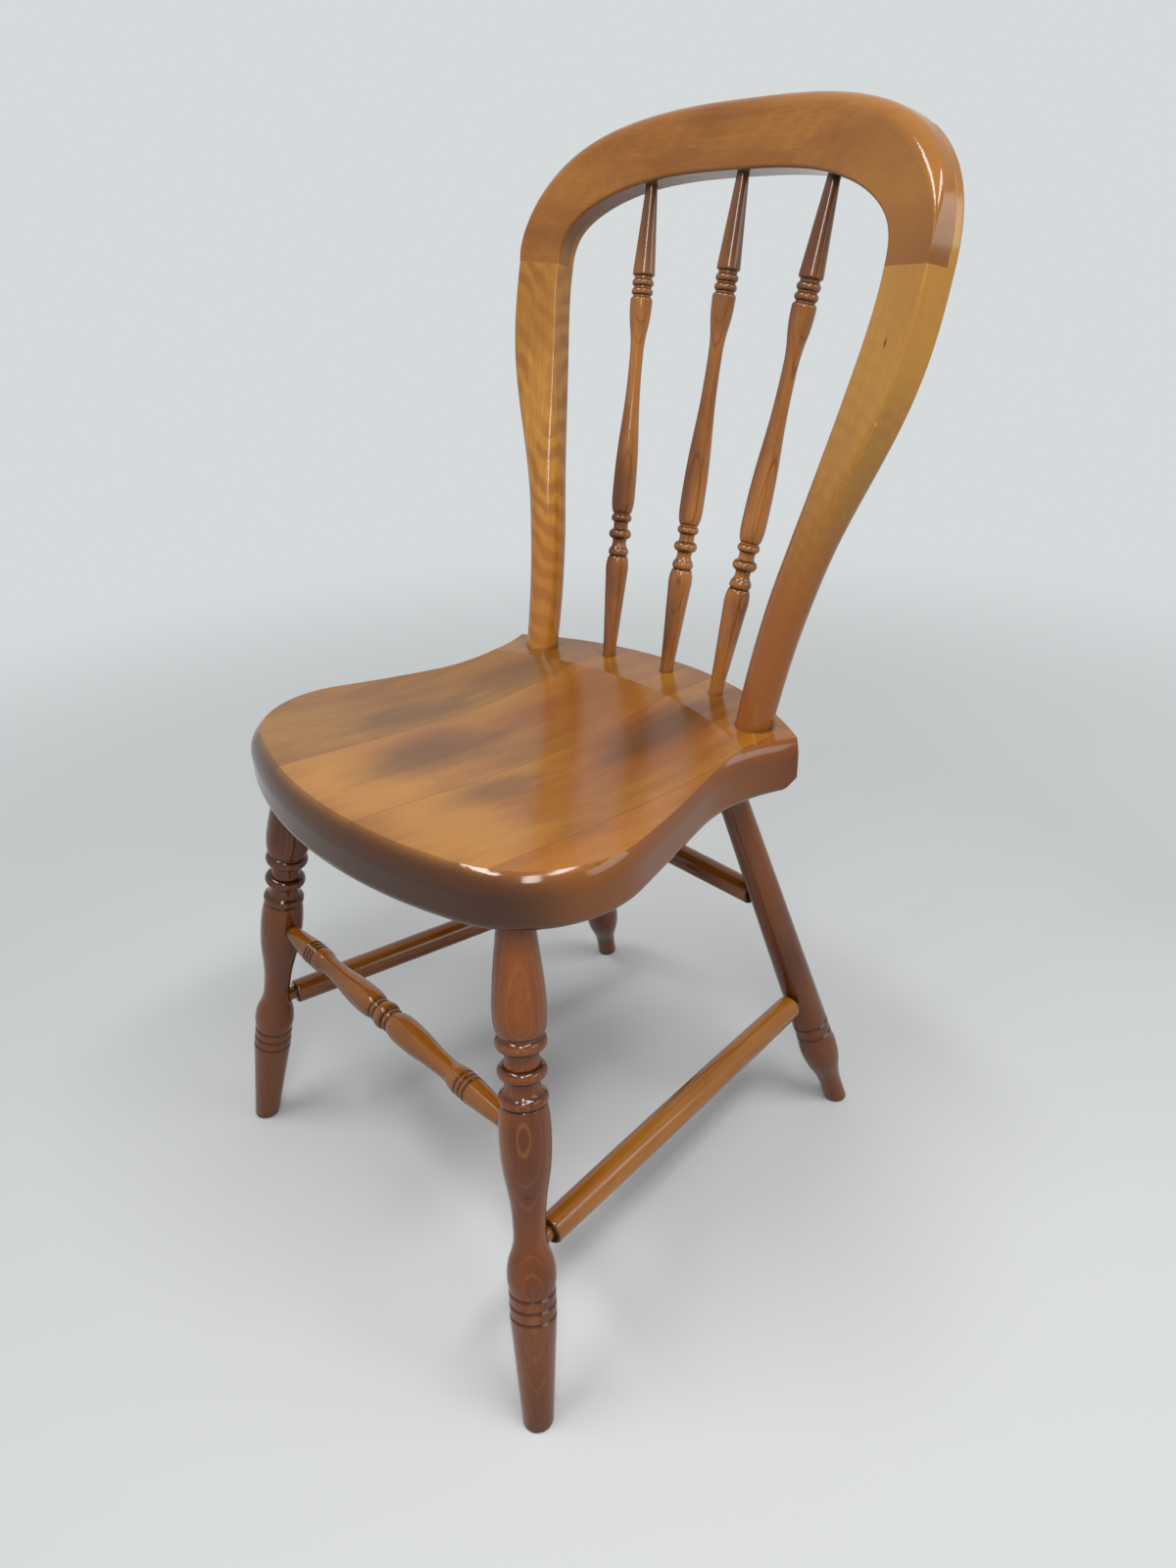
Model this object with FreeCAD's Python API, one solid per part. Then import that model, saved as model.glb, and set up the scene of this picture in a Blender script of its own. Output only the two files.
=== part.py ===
import FreeCAD, Part
import math
import os
from FreeCAD import Placement, Rotation, Vector

# Balloon-back spindle side chair, in millimetres and degrees.
# The sizes are set out from the front edge of the seat: +Y runs to the back, +Z up, and +X to the
# right of someone who faces the chair. The finished chair is moved so that its box stands centred
# on the origin, with the soles on Z = 0.

# Fit between glued pieces
GLUE_GAP = 0.1

# Plank seat
SEAT_HEIGHT = 438.0
SEAT_TILT = 1.25
SEAT_THICKNESS = 44.5
SEAT_WIDTH = 403.0
SEAT_DEPTH = 383.0
SEAT_FRONT_RADIUS = 412.0
SEAT_CORNER_RADIUS = 92.0
SEAT_WAIST_WIDTH = 324.0
SEAT_WAIST_SETBACK = 269.0
SEAT_WAIST_RADIUS = 130.0
SEAT_REAR_RADIUS = 305.0
SEAT_TOP_ROUND = 20.0
SEAT_REAR_RIM_CUT = 6.0
SEAT_BOTTOM_ROUND = 8.5
SEAT_REAR_CHAMFER = 13.0
SEAT_LEFT_JOINT = -75.0
SEAT_BOARD_WIDTH = 115.0

# Saddle worked into the seat
SADDLE_DEPTH = 11.0
SADDLE_FRONT_DROP = 1.5
SADDLE_RIDGE_SETBACK = 322.0
SADDLE_RIDGE_RADIUS = 340.0
SADDLE_FULLNESS = 1.6
SADDLE_SIDE_FADE = 0.6

# Back: a plane of leaning posts, with a crest that bows behind it
BACK_LEAN = 14.0
POST_SETBACK = 325.0
POST_FOOT_SPREAD = 264.0
POST_FOOT_SPLAY = 2.5
POST_FOOT_DIAMETER = 29.5
POST_CALF_DIAMETER = 33.0
POST_HEAD_WIDTH = 44.5
POST_ROUND_LENGTH = 125.0
POST_SQUARE_LENGTH = 60.0
POST_LENGTH = 334.0
POST_LOWER_HANDLE = 166.0
POST_UPPER_HANDLE = 110.0
POST_TENON_DIAMETER = 19.0
POST_TENON_LENGTH = 26.0
FRAME_DEPTH = 25.5
FRAME_EDGE_ROUND = 2.5
CREST_SPREAD = 383.5
CREST_RISE = 96.5
CREST_BOW = 27.0
CREST_SQUARENESS = 2.52
CREST_END_WIDTH = 43.0
CREST_CENTRE_WIDTH = 51.0
CREST_WIDEN_ANGLE = 45.0
CREST_TOP_ROUND = 12.0
CREST_ROUND_ANGLE = 35.0
CREST_REAR_ROUND = 5.0
LAP_ANGLE = 40.0
LAP_SETBACK = 4.25
LAP_PLAY_ANGLE = 0.1

# Spindles
SPINDLE_ROW_RADIUS = 266.0
SPINDLE_FOOT_SPACING = 66.5
SPINDLE_HEAD_SPACING = 92.5
SPINDLE_FOOT_DIAMETER = 11.4
SPINDLE_FOOT_TENON = 18.0
SPINDLE_HEAD_DIAMETER = 9.8
SPINDLE_HEAD_TENON = 14.0
SPINDLE_CONE_LENGTH = 80.0
SPINDLE_CONE_DIAMETER = 20.6
SPINDLE_VASE_DIAMETER = 20.4
SPINDLE_WAIST_DIAMETER = 11.5
SPINDLE_WAIST_DROP = 133.0
SPINDLE_FLARE_DIAMETER = 19.0
SPINDLE_CAP_LENGTH = 67.0
SPINDLE_RING_DIAMETER = 18.4
SPINDLE_RING_PITCH = 7.0
SPINDLE_COLLAR_DIAMETER = 20.2
SPINDLE_COLLAR_PITCH = 15.0
SPINDLE_NECK_DIAMETER = 13.4

# Legs
FOOT_FRONT_SPREAD = 440.0
FOOT_FRONT_REACH = 6.5
FOOT_REAR_SPREAD = 342.5
FOOT_LENGTH = 432.5
FOOT_ROUND = 2.0
LEG_FRONT_TOP_SPREAD = 302.5
LEG_FRONT_TOP_SETBACK = 64.0
LEG_REAR_TOP_SPREAD = 190.0
LEG_REAR_TOP_SETBACK = 327.0
LEG_TENON_DIAMETER = 20.0
LEG_TENON_LENGTH = 24.0
GROOVE_WIDTH = 3.2
GROOVE_DEPTH = 1.3
BEAD_FILLET = 2.6

# Front leg turning, from the sole up and from the seat down
FRONT_SOLE_DIAMETER = 23.5
FRONT_ANKLE_HEIGHT = 94.5
FRONT_ANKLE_DIAMETER = 35.0
FRONT_GROOVE_PITCH = 10.0
FRONT_CALF_HEIGHT = 128.5
FRONT_CALF_DIAMETER = 36.6
FRONT_SHIN_HEIGHT = 165.0
FRONT_SHIN_DIAMETER = 24.0
FRONT_KNEE_DROP = 166.0
FRONT_KNEE_DIAMETER = 37.8
FRONT_COLLAR_DROP = 137.5
FRONT_COLLAR_DIAMETER = 35.6
FRONT_COLLAR_LENGTH = 8.0
FRONT_RING_DROP = 116.8
FRONT_RING_DIAMETER = 35.2
FRONT_RING_LENGTH = 10.6
FRONT_DISC_DROP = 94.6
FRONT_DISC_DIAMETER = 37.1
FRONT_DISC_LENGTH = 9.8
FRONT_NECK_DIAMETER = 25.8
FRONT_VASE_DROP = 71.5
FRONT_VASE_DIAMETER = 38.4
FRONT_TOP_DIAMETER = 25.0

# Rear leg turning
REAR_SOLE_DIAMETER = 20.8
REAR_FOOT_HEIGHT = 18.0
REAR_ANKLE_HEIGHT = 75.0
REAR_ANKLE_DIAMETER = 36.4
REAR_GROOVE_HEIGHT = 94.5
REAR_GROOVE_PITCH = 13.4
REAR_CALF_DIAMETER = 34.0
REAR_TOP_DIAMETER = 24.2

# Stretchers
FRONT_STRETCHER_HEIGHT = 235.0
SIDE_STRETCHER_FRONT_HEIGHT = 146.5
SIDE_STRETCHER_REAR_HEIGHT = 133.0
REAR_STRETCHER_HEIGHT = 246.0
SIDE_STRETCHER_DIAMETER = 24.4
SIDE_STRETCHER_END_DIAMETER = 22.6
REAR_STRETCHER_DIAMETER = 23.2
REAR_STRETCHER_END_DIAMETER = 22.0
STRETCHER_TENON_DIAMETER = 12.5
STRETCHER_TENON_PAST_AXIS = 3.0
STRETCHER_END_ROUND = 2.5
SHOULDER_CLEARANCE = 0.6

# Front stretcher turning, from its middle to its ends
BOBBIN_BEAD_DIAMETER = 23.4
BOBBIN_BEAD_LENGTH = 11.0
BOBBIN_RING_DIAMETER = 20.4
BOBBIN_RING_LENGTH = 5.0
BOBBIN_NECK_DIAMETER = 17.6
BOBBIN_VASE_DIAMETER = 24.0
BOBBIN_VASE_OFFSET = 28.0
BOBBIN_WAIST_DIAMETER = 17.0
BOBBIN_WAIST_OFFSET = 88.0
BOBBIN_CUFF_DIAMETER = 21.4
BOBBIN_CUFF_OFFSET = 104.5
BOBBIN_END_DIAMETER = 15.0

# Room for cutting tools that have to reach past the work
REACH = 60.0

X_AXIS = Vector(1, 0, 0)
Z_AXIS = Vector(0, 0, 1)
ORIGIN = Vector(0, 0, 0)


class Turning:
    """Half profile of a turned piece, drawn along its axis from one end to the other."""

    def __init__(self, along, radius):
        self.edges = []
        self.stops = [(along, radius)]

    def point(self, along, radius):
        return Vector(radius, 0, along)

    def end(self):
        return self.point(*self.stops[-1])

    def add(self, curve, along, radius):
        self.edges.append(curve.toShape())
        self.stops.append((along, radius))
        return self

    def line(self, along, radius):
        """A cylinder, cone or flat shoulder."""
        return self.add(Part.LineSegment(self.end(), self.point(along, radius)), along, radius)

    def bead(self, along, radius, rise):
        """A rounded ring that stands out by rise, or a hollow where rise is negative."""
        start = self.end()
        middle = (start + self.point(along, radius)) * 0.5 + Vector(rise, 0, 0)
        return self.add(Part.Arc(start, middle, self.point(along, radius)), along, radius)

    def bezier(self, along, radius, first, second):
        curve = Part.BezierCurve()
        curve.setPoles([self.end(), first, second, self.point(along, radius)])
        return self.add(curve, along, radius)

    def ogee(self, along, radius):
        """An S curve that leaves and arrives parallel to the axis."""
        start_along, start_radius = self.stops[-1]
        middle = (start_along + along) / 2
        return self.bezier(along, radius, self.point(middle, start_radius), self.point(middle, radius))

    def close_in(self, along, radius):
        """A round that leaves parallel to the axis and arrives square to it."""
        start_along, start_radius = self.stops[-1]
        corner = self.point(along, start_radius)
        handle = 0.55
        first = self.end() + (corner - self.end()) * handle
        second = self.point(along, radius) + (corner - self.point(along, radius)) * handle
        return self.bezier(along, radius, first, second)

    def open_out(self, along, radius):
        """A round that leaves square to the axis and arrives parallel to it."""
        start_along, start_radius = self.stops[-1]
        corner = self.point(start_along, radius)
        handle = 0.55
        first = self.end() + (corner - self.end()) * handle
        second = self.point(along, radius) + (corner - self.point(along, radius)) * handle
        return self.bezier(along, radius, first, second)

    def groove(self, along):
        """A turned V at the present radius, centred on along."""
        radius = self.stops[-1][1]
        self.line(along - GROOVE_WIDTH / 2, radius)
        self.line(along, radius - GROOVE_DEPTH)
        return self.line(along + GROOVE_WIDTH / 2, radius)

    def radius_at(self, along):
        for (low, low_radius), (high, high_radius) in zip(self.stops, self.stops[1:]):
            if low <= along <= high and high > low:
                return low_radius + (high_radius - low_radius) * (along - low) / (high - low)
        return self.stops[-1][1]

    def widest(self, low, high):
        """The largest radius between two places on the axis."""
        inside = [radius for along, radius in self.stops if low < along < high]
        return max(inside + [self.radius_at(low), self.radius_at(high)])

    def solid(self, symmetric=False):
        """The piece turned about Z; a symmetric one is mirrored about its start."""
        edges = list(self.edges)
        first = self.stops[0]
        if symmetric:
            edges += [edge.mirror(ORIGIN, Z_AXIS) for edge in self.edges]
            first = (-self.stops[-1][0], self.stops[-1][1])
        last_along, last_radius = self.stops[-1]
        edges.append(Part.LineSegment(self.point(first[0], 0), self.point(*first)).toShape())
        edges.append(Part.LineSegment(self.point(last_along, last_radius), self.point(last_along, 0)).toShape())
        edges.append(Part.LineSegment(self.point(last_along, 0), self.point(first[0], 0)).toShape())
        wire = Part.Wire(Part.__sortEdges__(edges))
        return Part.Face(wire).revolve(ORIGIN, Z_AXIS, 360)


def along_axis(shape, start, direction):
    """Stand a piece that was made about Z on a point, along a direction."""
    placed = shape.copy()
    placed.Placement = Placement(start, Rotation(Z_AXIS, direction))
    return placed


def rod(start, end, diameter):
    """A plain cylinder between two points."""
    return Part.makeCylinder(diameter / 2, (end - start).Length, start, end - start)


def mirrored(shape):
    """The left-hand copy of a right-hand piece."""
    return shape.mirror(ORIGIN, X_AXIS)


def smooth_step(value):
    """An even blend from 0 to 1, flat at both ends."""
    value = min(1.0, max(0.0, value))
    return value * value * (3 - 2 * value)


# Where the seat stands: its own Z = 0 is the flat deck, turned about the row of the post feet
SEAT_PLACE = Placement(Vector(0, POST_SETBACK, SEAT_HEIGHT), Rotation(X_AXIS, -SEAT_TILT))


def on_seat(x, setback, height=0.0):
    """A point of the seat, by its distance behind the front edge and its height over the deck."""
    return SEAT_PLACE.multVec(Vector(x, setback - POST_SETBACK, height))


def seat_slab(low, high):
    """Everything between two heights over the deck, as a tool for trimming pieces to the seat."""
    side = 4 * SEAT_WIDTH
    slab = Part.makeBox(side, side, high - low, Vector(-side / 2, -side / 2, low))
    slab.Placement = SEAT_PLACE
    return slab


def seat_outline():
    """The bell-shaped plan: front arc, rounded corners, straight flanks, hollow waist and rear arc."""
    half_width = SEAT_WIDTH / 2
    corner_x = half_width - SEAT_CORNER_RADIUS
    front_reach = SEAT_FRONT_RADIUS - SEAT_CORNER_RADIUS
    corner = Vector(corner_x, SEAT_FRONT_RADIUS - math.sqrt(front_reach**2 - corner_x**2), 0)
    front_centre = Vector(0, SEAT_FRONT_RADIUS, 0)
    corner_start = front_centre + (corner - front_centre).normalize() * SEAT_FRONT_RADIUS

    waist = Vector(SEAT_WAIST_WIDTH / 2 + SEAT_WAIST_RADIUS, SEAT_WAIST_SETBACK, 0)
    between = waist - corner
    swing = math.acos((SEAT_CORNER_RADIUS + SEAT_WAIST_RADIUS) / between.Length)
    heading = math.atan2(between.y, between.x) - swing
    square_to_flank = Vector(math.cos(heading), math.sin(heading), 0)
    flank_start = corner + square_to_flank * SEAT_CORNER_RADIUS
    flank_end = waist - square_to_flank * SEAT_WAIST_RADIUS

    # The rear corner is where the waist's circle meets the rear arc
    rear_centre = Vector(0, SEAT_DEPTH - SEAT_REAR_RADIUS, 0)
    link = waist - rear_centre
    share = (link.Length**2 + SEAT_REAR_RADIUS**2 - SEAT_WAIST_RADIUS**2) / (2 * link.Length)
    offset = math.sqrt(SEAT_REAR_RADIUS**2 - share**2)
    link.normalize()
    rear_corner = rear_centre + link * share + Vector(-link.y, link.x, 0) * offset

    def on_circle(centre, radius, start, end):
        towards = (start - centre).normalize() + (end - centre).normalize()
        return Part.Arc(start, centre + towards.normalize() * radius, end).toShape()

    right = [
        on_circle(corner, SEAT_CORNER_RADIUS, corner_start, flank_start),
        Part.LineSegment(flank_start, flank_end).toShape(),
        on_circle(waist, SEAT_WAIST_RADIUS, flank_end, rear_corner),
    ]
    left = [mirrored(edge) for edge in right]
    start_left = Vector(-corner_start.x, corner_start.y, 0)
    rear_left = Vector(-rear_corner.x, rear_corner.y, 0)
    front = Part.Arc(start_left, ORIGIN, corner_start).toShape()
    rear = Part.Arc(rear_corner, Vector(0, SEAT_DEPTH, 0), rear_left).toShape()
    return Part.Wire(Part.__sortEdges__([front, rear] + right + left)), rear_centre


def saddle_height(x, setback):
    """Height of the sculpted top over the deck: below it in front of the ridge, above it behind."""
    front = x * x / (2 * SEAT_FRONT_RADIUS)
    ridge = SADDLE_RIDGE_SETBACK - x * x / (2 * SADDLE_RIDGE_RADIUS)
    along = (setback - front) / (ridge - front)
    deepest = SADDLE_FULLNESS / (SADDLE_FULLNESS + 1)
    scale = 1 / (deepest**SADDLE_FULLNESS * (1 - deepest))
    across = 1 - SADDLE_SIDE_FADE * (2 * x / SEAT_WIDTH) ** 2
    hollow = SADDLE_DEPTH * across * scale * max(0.0, along) ** SADDLE_FULLNESS
    return -(hollow + SADDLE_FRONT_DROP) * (1 - along)


def saddle_tool():
    """Everything over the sculpted top, as one smooth surface carried upwards."""
    columns, rows = 13, 15
    overhang = 25.0
    width = SEAT_WIDTH + 2 * overhang
    depth = SEAT_DEPTH + 2 * overhang
    grid = []
    for row in range(rows):
        setback = -overhang + depth * row / (rows - 1)
        line = []
        for column in range(columns):
            x = -width / 2 + width * column / (columns - 1)
            line.append(Vector(x, setback, saddle_height(x, setback)))
        grid.append(line)
    surface = Part.BSplineSurface()
    surface.interpolate(grid)
    return surface.toShape().extrude(Vector(0, 0, REACH))


def build_seat():
    """The whole seat before it is cut into boards."""
    outline, rear_centre = seat_outline()
    blank = Part.Face(outline).extrude(Vector(0, 0, SEAT_THICKNESS + REACH / 2))
    blank.translate(Vector(0, 0, -SEAT_THICKNESS))

    # The rounded rim rises over the deck towards the rear, so that the deck cuts it to a crisp edge there
    slope = SEAT_REAR_RIM_CUT / SEAT_DEPTH
    over = Part.makeBox(2 * SEAT_WIDTH, 4 * SEAT_DEPTH, REACH, Vector(-SEAT_WIDTH, -2 * SEAT_DEPTH, 0))
    tilted = over.copy()
    tilted.rotate(ORIGIN, X_AXIS, math.degrees(math.atan(slope)))
    blank = blank.cut(tilted)

    def rim(level, rise):
        found = []
        for edge in blank.Edges:
            middle = edge.valueAt((edge.FirstParameter + edge.LastParameter) / 2)
            on_level = abs(middle.z - level - rise * middle.y) < 1e-4
            if on_level and middle.y < SEAT_DEPTH - 1:
                found.append(edge)
        return found

    blank = blank.makeFillet(SEAT_TOP_ROUND, rim(0, slope))
    blank = blank.makeFillet(SEAT_BOTTOM_ROUND, rim(-SEAT_THICKNESS, 0))
    blank = blank.cut(saddle_tool()).cut(over)

    # Chamfer under the rear edge, turned about the centre of the rear arc
    low = -SEAT_THICKNESS
    corner = Vector(rear_centre.x + SEAT_REAR_RADIUS, rear_centre.y, low)
    rise = Vector(0, 0, SEAT_REAR_CHAMFER)
    inset = Vector(-SEAT_REAR_CHAMFER, 0, 0)
    wedge = Part.Face(Part.makePolygon([corner + rise, corner + inset, corner - rise, corner + rise]))
    blank = blank.cut(wedge.revolve(rear_centre, Z_AXIS, 180))
    blank.translate(Vector(0, -POST_SETBACK, 0))
    blank.Placement = SEAT_PLACE.multiply(blank.Placement)
    return blank


def seat_boards(seat):
    """The seat cut along its glue lines, from left to right."""
    edges = [SEAT_LEFT_JOINT + SEAT_BOARD_WIDTH * count for count in range(3)]
    limits = [-SEAT_WIDTH] + edges + [SEAT_WIDTH]
    names = ["left", "centre_left", "centre_right", "right"]
    boards = {}
    for name, low, high in zip(names, limits, limits[1:]):
        slab = Part.makeBox(high - low, 4 * SEAT_DEPTH, 4 * SEAT_HEIGHT, Vector(low, -SEAT_DEPTH, 0))
        boards["seat_board_" + name] = seat.common(slab)
    return boards


# The back's own axes: up the lean and square to it, from the row of the post feet on the deck
LEAN = math.radians(BACK_LEAN)
BACK_UP = Vector(0, math.sin(LEAN), math.cos(LEAN))
BACK_REAR = Vector(0, math.cos(LEAN), -math.sin(LEAN))
BACK_FOOT = Vector(0, POST_SETBACK, SEAT_HEIGHT)
BOW_RADIUS = (CREST_SPREAD / 2) ** 2 / (2 * CREST_BOW)


def in_back(x, up, rear):
    """A direction given by the back's own axes."""
    return X_AXIS * x + BACK_UP * up + BACK_REAR * rear


def frame_section(centre, along, x, width, depth_limits, rounds):
    """A rounded section of the bow: rounds are outer front, outer rear, inner rear, inner front."""
    along = Vector(along).normalize()
    rear = in_back(x / BOW_RADIUS, 0, 1)
    rear = (rear - along * rear.dot(along)).normalize()
    outer = rear.cross(along).normalize()
    half = width / 2
    front_limit, rear_limit = depth_limits
    corners = [(half, front_limit), (half, rear_limit), (-half, rear_limit), (-half, front_limit)]
    edges = []
    ends = []
    for index, (across, deep) in enumerate(corners):
        radius = rounds[index]
        into_across = -math.copysign(radius, across)
        into_deep = radius if deep == front_limit else -radius
        tip = centre + outer * across + rear * deep
        by_side = tip + rear * into_deep
        by_face = tip + outer * into_across
        hub = tip + rear * into_deep + outer * into_across
        middle = hub + (tip - hub).normalize() * radius
        turning_in = index % 2 == 0
        first, last = (by_face, by_side) if turning_in else (by_side, by_face)
        ends.append((first, middle, last))
    for index, (first, middle, last) in enumerate(ends):
        edges.append(Part.Arc(first, middle, last).toShape())
        following = ends[(index + 1) % len(ends)][0]
        edges.append(Part.LineSegment(last, following).toShape())
    return Part.Wire(edges)


def post_path():
    """The centre line of the right post as a curve in the plane of the posts."""
    foot = Vector(POST_FOOT_SPREAD / 2, 0, 0)
    head = Vector(CREST_SPREAD / 2, POST_LENGTH, 0)
    splay = math.radians(POST_FOOT_SPLAY)
    curve = Part.BezierCurve()
    lower = foot + Vector(math.sin(splay), math.cos(splay), 0) * POST_LOWER_HANDLE
    upper = head - Vector(0, POST_UPPER_HANDLE, 0)
    curve.setPoles([foot, lower, upper, head])
    return curve


def post_section(x, up, along):
    """Round and swelling at the foot, blending to the square-edged section of the crest's ends."""
    square_start = POST_LENGTH - POST_SQUARE_LENGTH
    swell = min(1.0, max(0.0, up / POST_ROUND_LENGTH))
    blend = smooth_step((up - POST_ROUND_LENGTH) / (square_start - POST_ROUND_LENGTH))
    ending = smooth_step((up - square_start) / POST_SQUARE_LENGTH)
    diameter = POST_FOOT_DIAMETER + (POST_CALF_DIAMETER - POST_FOOT_DIAMETER) * swell
    head_width = POST_HEAD_WIDTH + (CREST_END_WIDTH - POST_HEAD_WIDTH) * ending
    width = diameter + (head_width - diameter) * blend
    depth = diameter + (FRAME_DEPTH - diameter) * blend
    full_round = diameter / 2 - GLUE_GAP
    edge_round = full_round + (FRAME_EDGE_ROUND - full_round) * blend
    centre = BACK_FOOT + in_back(x, up, 0)
    return frame_section(centre, along, CREST_SPREAD / 2, width, (-depth / 2, depth / 2), [edge_round] * 4)


def crest_point(angle):
    """The crest's centre line, a squared arch from the right post (0) to the left one (180)."""
    power = 2 / CREST_SQUARENESS
    turn = math.radians(angle)
    across = math.copysign(abs(math.cos(turn)) ** power, math.cos(turn))
    rise = math.copysign(abs(math.sin(turn)) ** power, math.sin(turn))
    x = across * CREST_SPREAD / 2
    bow = CREST_BOW - x * x / (2 * BOW_RADIUS)
    return x, BACK_FOOT + in_back(x, POST_LENGTH + rise * CREST_RISE, bow)


def crest_width(angle):
    """The crest's width, which grows quickly from its ends and stays even over the middle."""
    widening = smooth_step(min(angle, 180 - angle) / CREST_WIDEN_ANGLE)
    return CREST_END_WIDTH + (CREST_CENTRE_WIDTH - CREST_END_WIDTH) * widening


def crest_section(angle, margin=0.0, lap=None):
    """A section across the crest; lap keeps only the part behind that depth, for the tongue."""
    x, centre = crest_point(angle)
    step = 0.01
    along = crest_point(angle + step)[1] - crest_point(angle - step)[1]
    width = crest_width(angle) + 2 * margin
    half = FRAME_DEPTH / 2
    if lap is not None:
        slight = FRAME_EDGE_ROUND / 10
        rounds = [slight, FRAME_EDGE_ROUND, FRAME_EDGE_ROUND, slight]
        return frame_section(centre, along, x, width, (lap, half + margin), rounds)
    rounding = smooth_step(min(angle, 180 - angle) / CREST_ROUND_ANGLE)
    front_round = FRAME_EDGE_ROUND + (CREST_TOP_ROUND - FRAME_EDGE_ROUND) * rounding
    rear_round = FRAME_EDGE_ROUND + (CREST_REAR_ROUND - FRAME_EDGE_ROUND) * rounding
    rounds = [front_round, rear_round, FRAME_EDGE_ROUND, FRAME_EDGE_ROUND]
    return frame_section(centre, along, x, width, (-half, half), rounds)


def lap_angles(end):
    count = 5
    return [end * index / (count - 1) for index in range(count)]


def build_post():
    """The right post: a lofted leg of the bow, a lap tongue at the head and a tenon at the foot."""
    curve = post_path()
    sections = []
    count = 10
    first = curve.tangent(0)[0]
    foot_along = in_back(first.x, first.y, 0)
    below = curve.value(0) - Vector(first.x, first.y, 0) * POST_FOOT_DIAMETER / 2
    sections.append(post_section(below.x, below.y, foot_along))
    for index in range(count + 1):
        place = curve.value(index / count)
        along = curve.tangent(index / count)[0]
        sections.append(post_section(place.x, place.y, in_back(along.x, along.y, 0)))
    post = Part.makeLoft(sections, True)

    # The tongue stands on the rear third of the post's flat shoulder
    tongue = Part.makeLoft([crest_section(angle, lap=LAP_SETBACK) for angle in lap_angles(LAP_ANGLE)], True)
    post = post.fuse(tongue)

    post = post.cut(seat_slab(-REACH, GLUE_GAP))
    foot = on_seat(POST_FOOT_SPREAD / 2, POST_SETBACK)
    tip = foot - foot_along * POST_TENON_LENGTH
    return post.fuse(rod(tip, foot + foot_along * POST_FOOT_DIAMETER, POST_TENON_DIAMETER)), foot, foot_along


def lap_pocket():
    """Room for the right post's tongue in the back of the crest."""
    margin = FRAME_DEPTH
    front = LAP_SETBACK - GLUE_GAP
    sections = [crest_section(angle, margin, front) for angle in lap_angles(LAP_ANGLE + LAP_PLAY_ANGLE)]
    start = sections[0].copy()
    start.translate(-BACK_UP * FRAME_DEPTH)
    return Part.makeLoft([start] + sections, True)


def shoulder_trim():
    """A slab that keeps the crest's ends the glue gap above the shoulders of the posts."""
    corner = BACK_FOOT + in_back(-CREST_SPREAD, POST_LENGTH - FRAME_DEPTH, -CREST_SPREAD)
    slab = Part.makeBox(2 * CREST_SPREAD, 2 * CREST_SPREAD, FRAME_DEPTH + GLUE_GAP)
    slab.Placement = Placement(corner, Rotation(X_AXIS, -BACK_LEAN))
    return slab


def build_crest(head_sockets):
    """The bowed crest, lapped over both tongues and bored for the spindles."""
    step = 15
    crest = Part.makeLoft([crest_section(angle) for angle in range(0, 181, step)], True)
    pocket = lap_pocket()
    crest = crest.cut(pocket).cut(mirrored(pocket)).cut(shoulder_trim())
    for socket in head_sockets:
        crest = crest.cut(socket)
    return crest


def spindle_line(place):
    """Foot and head of a spindle's axis; place is -1, 0 or 1 from left to right."""
    foot_x = place * SPINDLE_FOOT_SPACING
    row_reach = math.sqrt(SPINDLE_ROW_RADIUS**2 - foot_x**2)
    post_reach = math.sqrt(SPINDLE_ROW_RADIUS**2 - (POST_FOOT_SPREAD / 2) ** 2)
    foot = on_seat(foot_x, POST_SETBACK + row_reach - post_reach)
    head_x = place * SPINDLE_HEAD_SPACING
    angle = math.degrees(math.acos((abs(head_x) / (CREST_SPREAD / 2)) ** (CREST_SQUARENESS / 2)))
    centre = crest_point(angle)[1]
    centre.x = head_x
    return foot, centre - BACK_UP * (crest_width(angle) / 2)


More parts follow.
